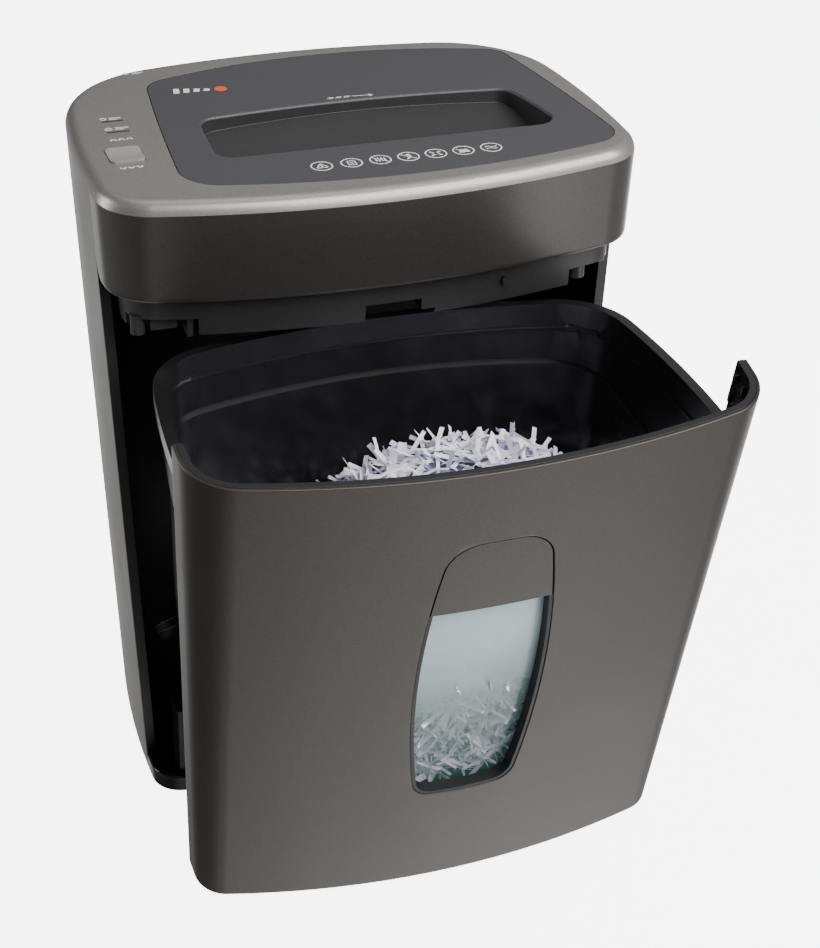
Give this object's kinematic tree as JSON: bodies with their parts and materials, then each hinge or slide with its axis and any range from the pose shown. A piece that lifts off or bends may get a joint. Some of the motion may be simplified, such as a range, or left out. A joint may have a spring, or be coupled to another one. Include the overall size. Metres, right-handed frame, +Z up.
{
  "type": "paper shredder",
  "caption": "Office paper shredder: cutter head over a curved cabinet, with a pull-out bin that has a window, a finger grip and a deep black tub.",
  "frame": {"origin": "on the floor under the middle of the cabinet's plan", "axes": "+X to the right seen from the front, +Y to the back, +Z up"},
  "size_m": [0.3794, 0.4847, 0.4976],
  "materials": {
    "grey_shell": "satin",
    "graphite_front": "satin",
    "silver_cover": "satin",
    "dark_panel": "satin",
    "black_plastic": "satin",
    "key_plastic": "satin",
    "rubber": "matte",
    "light_pipe": "gloss",
    "nylon": "matte",
    "circuit_board": "gloss",
    "bronze": "satin",
    "zinc_steel": "satin",
    "cutter_steel": "satin",
    "clear_lens": "gloss"
  },
  "bodies": {
    "cabinet": {"cabinet_shell": "grey_shell", "base_tray": "black_plastic", "rubber_feet": "rubber", "right_guide_rail": "black_plastic", "left_guide_rail": "black_plastic", "top_cover": "silver_cover", "rocker_pin": "zinc_steel", "throat_panel": "dark_panel", "front_fascia": "graphite_front", "head_casing": "black_plastic", "left_side_plate": "zinc_steel", "right_side_plate": "zinc_steel", "tie_rods": "zinc_steel", "roller_bushes": "bronze", "idler_pin": "zinc_steel", "front_strippers": "black_plastic", "rear_strippers": "black_plastic", "motor_body": "zinc_steel", "motor_cradle": "black_plastic", "motor_screws": "zinc_steel", "control_board": "circuit_board", "board_components": "black_plastic", "ready_light": "light_pipe", "overheat_light": "light_pipe", "power_switch_housing": "black_plastic", "cord_bush": "rubber", "interlock_switch": "black_plastic", "casing_screws": "zinc_steel", "base_screws": "zinc_steel"},
    "bin": {"bin_tub": "black_plastic", "bin_front_panel": "graphite_front", "bin_front_frame": "black_plastic", "pull_grip": "graphite_front", "window_bezel": "black_plastic", "window_lens": "clear_lens", "grip_pocket": "black_plastic", "glide_pegs": "nylon", "panel_screws": "zinc_steel"},
    "control_key": {"control_rocker": "key_plastic"},
    "power_key": {"power_rocker": "key_plastic"},
    "rear_cutter": {"rear_cutter_roller": "cutter_steel", "rear_sync_gear": "cutter_steel", "drum_gear": "cutter_steel"},
    "front_cutter": {"front_cutter_roller": "cutter_steel", "front_sync_gear": "cutter_steel"},
    "idler": {"idler_gear": "cutter_steel"},
    "motor_rotor": {"motor_shaft": "zinc_steel", "motor_armature": "cutter_steel", "motor_pinion": "bronze", "motor_fan": "nylon"},
    "interlock": {"interlock_plunger": "nylon"}
  },
  "joints": [
    {"name": "bin_pull", "type": "hinge", "parent": "cabinet", "child": "bin", "pos_m": [0, -0.1423, -0.769], "axis": [1, 0, 0], "range_deg": [-10.27, 0]},
    {"name": "control_rock", "type": "hinge", "parent": "cabinet", "child": "control_key", "pos_m": [-0.1585, -0.0355, 0.489], "axis": [1, 0, 0], "range_deg": [-3.5, 3.5], "stiffness_Nm_per_rad": 0.05},
    {"name": "power_rock", "type": "hinge", "parent": "cabinet", "child": "power_key", "pos_m": [-0.0848, 0.12878, 0.45505], "axis": [0.9907, 0.1359, 0], "range_deg": [-12, 0]},
    {"name": "rear_cutter_spin", "type": "hinge", "parent": "cabinet", "child": "rear_cutter", "pos_m": [0, -0.0285, 0.427], "axis": [1, 0, 0], "continuous": true},
    {"name": "front_cutter_spin", "type": "hinge", "parent": "cabinet", "child": "front_cutter", "pos_m": [0, -0.0625, 0.427], "axis": [1, 0, 0], "continuous": true},
    {"name": "idler_spin", "type": "hinge", "parent": "cabinet", "child": "idler", "pos_m": [-0.11, -0.00147, 0.44593], "axis": [1, 0, 0], "continuous": true},
    {"name": "motor_spin", "type": "hinge", "parent": "cabinet", "child": "motor_rotor", "pos_m": [-0.05, 0.02647, 0.435], "axis": [1, 0, 0], "continuous": true},
    {"name": "interlock_press", "type": "slide", "parent": "cabinet", "child": "interlock", "axis": [0, 1, 0], "range_m": [0, 0.003], "stiffness_N_per_m": 200}
  ],
  "couplings": [
    {"joint": "front_cutter_spin", "follows": "rear_cutter_spin", "ratio": -1},
    {"joint": "idler_spin", "follows": "rear_cutter_spin", "ratio": -2.6667},
    {"joint": "motor_spin", "follows": "rear_cutter_spin", "ratio": 10.667}
  ]
}
